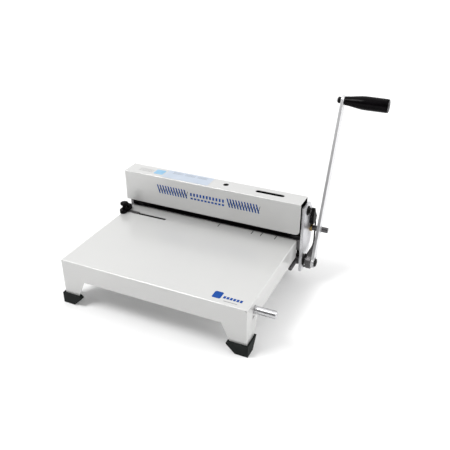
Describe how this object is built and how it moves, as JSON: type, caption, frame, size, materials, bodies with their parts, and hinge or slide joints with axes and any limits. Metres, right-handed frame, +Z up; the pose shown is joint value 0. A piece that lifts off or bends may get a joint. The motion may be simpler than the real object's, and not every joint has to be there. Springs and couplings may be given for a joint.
{
  "type": "coil binding punch",
  "caption": "Manual punch for spiral binding: sheet metal table on legs, covered punch head at the rear and a long side lever with a turning grip.",
  "frame": {"origin": "centre of the whole machine's box, on the desk under the feet", "axes": "+X towards the lever side along the punch head, +Y to the rear, +Z up"},
  "size_m": [0.5368, 0.424, 0.3773],
  "materials": {
    "painted_sheet": "silver grey paint, fine satin texture",
    "bright_steel": "bright, lightly brushed",
    "dark_steel": "dark grey, machined",
    "zinc_plate": "pale zinc plate",
    "brass": "turned",
    "rubber": "matte black",
    "black_plastic": "glossy black",
    "blackened_steel": "black oxide"
  },
  "bodies": {
    "frame": {"table_tray": "painted_sheet", "rear_leg_panel": "painted_sheet", "head_cover": "painted_sheet", "front_stop_rod": "bright_steel", "front_stop_nut": "bright_steel", "rear_stop_pin": "bright_steel", "die_bar": "bright_steel", "margin_backstop": "bright_steel", "tie_washer_right": "bright_steel", "cover_screw_1": "bright_steel", "cover_screw_2": "bright_steel", "rear_panel_screw_1": "bright_steel", "rear_panel_screw_2": "bright_steel", "leg_rivet_left": "dark_steel", "leg_rivet_right": "dark_steel", "upper_tie_bar": "dark_steel", "shaft_bush_left": "dark_steel", "shaft_bush_right": "dark_steel", "left_side_plate": "zinc_plate", "right_side_plate": "zinc_plate", "rear_stop_bush": "brass", "front_foot_left": "rubber", "front_foot_right": "rubber", "rear_foot_left": "rubber", "rear_foot_right": "rubber", "spring_anchor_block": "black_plastic", "punch_guide_bar": "blackened_steel", "tie_bolt_right": "blackened_steel", "return_spring": "blackened_steel", "guide_rail": "blackened_steel", "die_spacer_right": "blackened_steel"},
    "lever": {"drive_shaft": "bright_steel", "shaft_clip": "dark_steel", "eccentric_left": "dark_steel", "eccentric_right": "dark_steel", "shaft_collar": "dark_steel", "shaft_stud": "bright_steel", "lever_hub": "dark_steel", "lever_arm": "bright_steel", "pivot_washer": "bright_steel", "pivot_bolt": "blackened_steel", "grip_spindle": "bright_steel", "grip_nut": "blackened_steel"},
    "grip": {"hand_grip": "black_plastic", "grip_cap": "black_plastic"},
    "punch_carriage": {"press_bar": "bright_steel", "punch_row": "bright_steel", "yoke_left": "dark_steel", "yoke_right": "dark_steel", "yoke_bolt_left": "bright_steel", "yoke_bolt_right": "bright_steel"},
    "edge_guide": {"edge_guide_block": "black_plastic", "guide_slide_strip": "zinc_plate", "guide_runner": "bright_steel"},
    "guide_knob": {"guide_knob": "black_plastic"}
  },
  "joints": [
    {"name": "lever_swing", "type": "hinge", "parent": "frame", "child": "lever", "pos_m": [-0.05935, 0.06546, 0.051], "axis": [1, 0, 0], "range_deg": [0, 101], "stiffness_Nm_per_rad": 1, "springref_deg": -34.38},
    {"name": "grip_spin", "type": "hinge", "parent": "lever", "child": "grip", "pos_m": [0.22565, 0.19804, 0.36333], "axis": [1, 0, 0], "continuous": true},
    {"name": "punch_stroke", "type": "slide", "parent": "frame", "child": "punch_carriage", "axis": [0, 0, -1], "range_m": [0, 0.0093]},
    {"name": "edge_guide_slide", "type": "slide", "parent": "frame", "child": "edge_guide", "axis": [1, 0, 0], "range_m": [0, 0.07]},
    {"name": "guide_knob_turn", "type": "hinge", "parent": "edge_guide", "child": "guide_knob", "pos_m": [-0.25585, 0.01796, 0.112], "axis": [0, 0, 1], "continuous": true}
  ],
  "couplings": [
    {"joint": "punch_stroke", "follows": "lever_swing", "m_per_rad": 0.005253}
  ]
}
